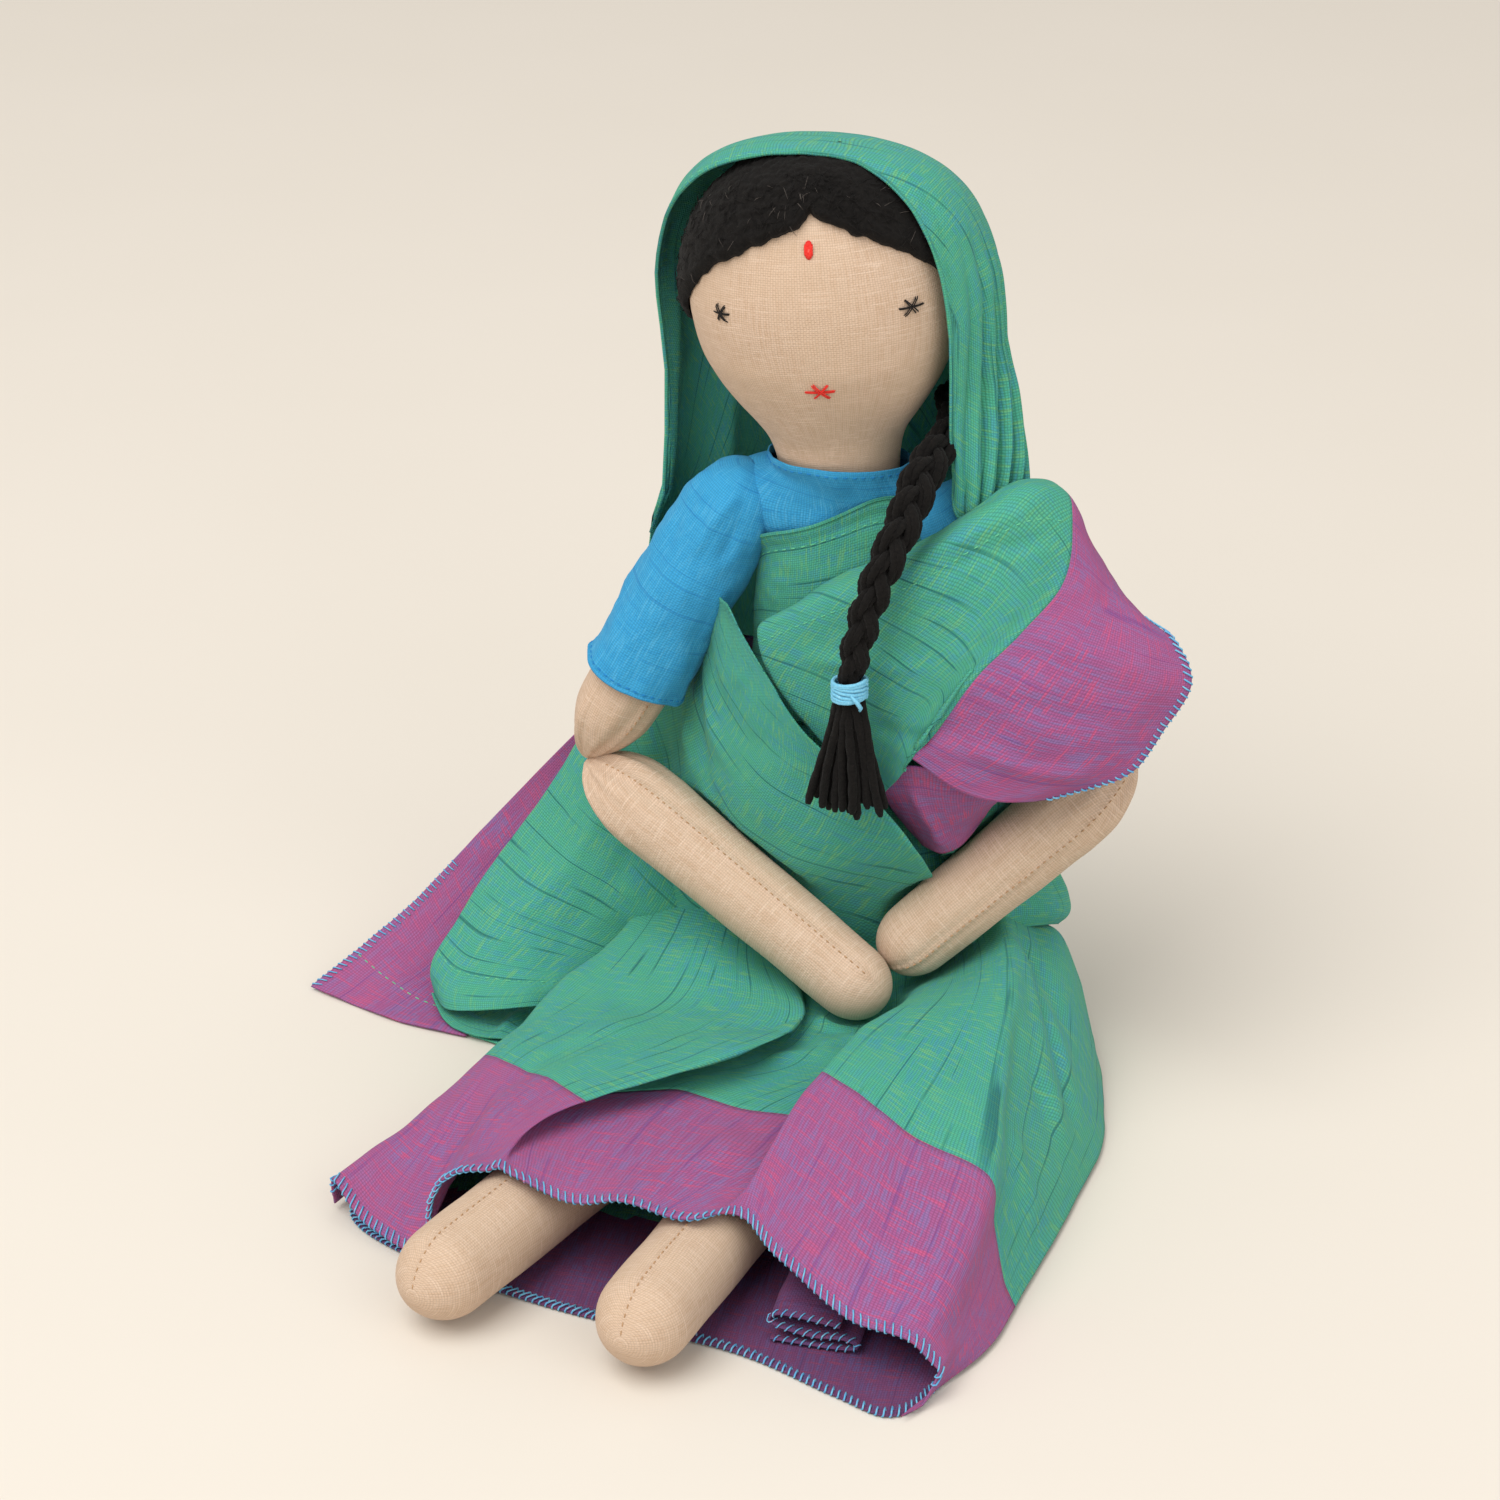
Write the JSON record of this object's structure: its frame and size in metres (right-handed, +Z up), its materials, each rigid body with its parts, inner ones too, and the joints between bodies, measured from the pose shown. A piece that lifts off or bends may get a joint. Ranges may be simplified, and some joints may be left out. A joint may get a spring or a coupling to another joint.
{
  "type": "seated stuffed cloth doll",
  "caption": "Seated stuffed cotton doll in a handloom sari drawn over the head as a veil, with stitched face, blouse, yarn braid and limbs sewn so that they hinge.",
  "frame": {"origin": "on the floor under the middle of the seat, at the height of the underside of the cloth that the doll sits on", "axes": "+Z up; -Y the way the doll faces; -X the doll's right"},
  "size_m": [0.266, 0.2371, 0.2844],
  "materials": {
    "beige_skin_cotton": "matte",
    "polyester_filling": "matte",
    "black_wool": "matte",
    "blue_thread": "matte",
    "black_thread": "matte",
    "red_thread": "matte",
    "blue_blouse_cotton": "matte",
    "green_sari_cotton": "matte",
    "purple_border_cotton": "matte"
  },
  "bodies": {
    "torso": {"torso_front_panel": "beige_skin_cotton", "torso_back_panel": "beige_skin_cotton", "torso_stuffing": "polyester_filling", "head_front_panel": "beige_skin_cotton", "head_back_panel": "beige_skin_cotton", "head_stuffing": "polyester_filling", "hair_cap": "black_wool", "right_eye_stitch": "black_thread", "left_eye_stitch": "black_thread", "mouth_stitch": "red_thread", "bindi_stitch": "red_thread", "blouse_body": "blue_blouse_cotton", "braid_root": "black_wool", "sari_underlay": "green_sari_cotton", "sari_skirt": "green_sari_cotton", "sari_skirt_border": "purple_border_cotton", "sari_back_skirt": "green_sari_cotton", "sari_waist_wrap": "green_sari_cotton", "sari_chest_band": "green_sari_cotton", "sari_pallu": "green_sari_cotton", "sari_shoulder_pleats": "green_sari_cotton", "sari_veil": "green_sari_cotton", "sari_hip_fold": "green_sari_cotton", "sari_train_border": "purple_border_cotton"},
    "right_upper_arm": {"right_upper_arm_skin": "beige_skin_cotton", "right_upper_arm_stuffing": "polyester_filling", "blouse_right_sleeve": "blue_blouse_cotton"},
    "right_forearm": {"right_forearm_skin": "beige_skin_cotton", "right_forearm_stuffing": "polyester_filling"},
    "left_upper_arm": {"left_upper_arm_skin": "beige_skin_cotton", "left_upper_arm_stuffing": "polyester_filling", "blouse_left_sleeve": "blue_blouse_cotton", "sari_pallu_border": "purple_border_cotton"},
    "left_forearm": {"left_forearm_skin": "beige_skin_cotton", "left_forearm_stuffing": "polyester_filling"},
    "right_leg": {"right_leg_skin": "beige_skin_cotton", "right_leg_stuffing": "polyester_filling"},
    "left_leg": {"left_leg_skin": "beige_skin_cotton", "left_leg_stuffing": "polyester_filling"},
    "braid": {"hair_braid": "black_wool", "braid_tie": "blue_thread", "braid_tassel": "black_wool"}
  },
  "joints": [
    {"name": "right_shoulder", "type": "hinge", "parent": "torso", "child": "right_upper_arm", "pos_m": [-0.033, 0, 0.174], "axis": [-1, 0, 0], "range_deg": [0, 70]},
    {"name": "right_elbow", "type": "hinge", "parent": "right_upper_arm", "child": "right_forearm", "pos_m": [-0.076, -0.01, 0.09], "axis": [-0.5181, -0.5891, -0.6201], "range_deg": [0, 35]},
    {"name": "left_shoulder", "type": "hinge", "parent": "torso", "child": "left_upper_arm", "pos_m": [0.033, 0, 0.174], "axis": [-0.6, -0.8, 0], "range_deg": [0, 27]},
    {"name": "left_elbow", "type": "hinge", "parent": "left_upper_arm", "child": "left_forearm", "pos_m": [0.085, 0.003, 0.105], "axis": [-0.5769, -0.2919, 0.7629], "range_deg": [0, 35]},
    {"name": "right_hip", "type": "hinge", "parent": "torso", "child": "right_leg", "pos_m": [-0.018, -0.0218, 0.0158], "axis": [0, 0, -1], "range_deg": [-3, 3]},
    {"name": "left_hip", "type": "hinge", "parent": "torso", "child": "left_leg", "pos_m": [0.018, -0.0218, 0.0158], "axis": [0, 0, 1], "range_deg": [-3, 3]},
    {"name": "braid_swing", "type": "hinge", "parent": "torso", "child": "braid", "pos_m": [0.0265, -0.0224, 0.203], "axis": [-1, 0, 0], "range_deg": [0, 25]}
  ]
}
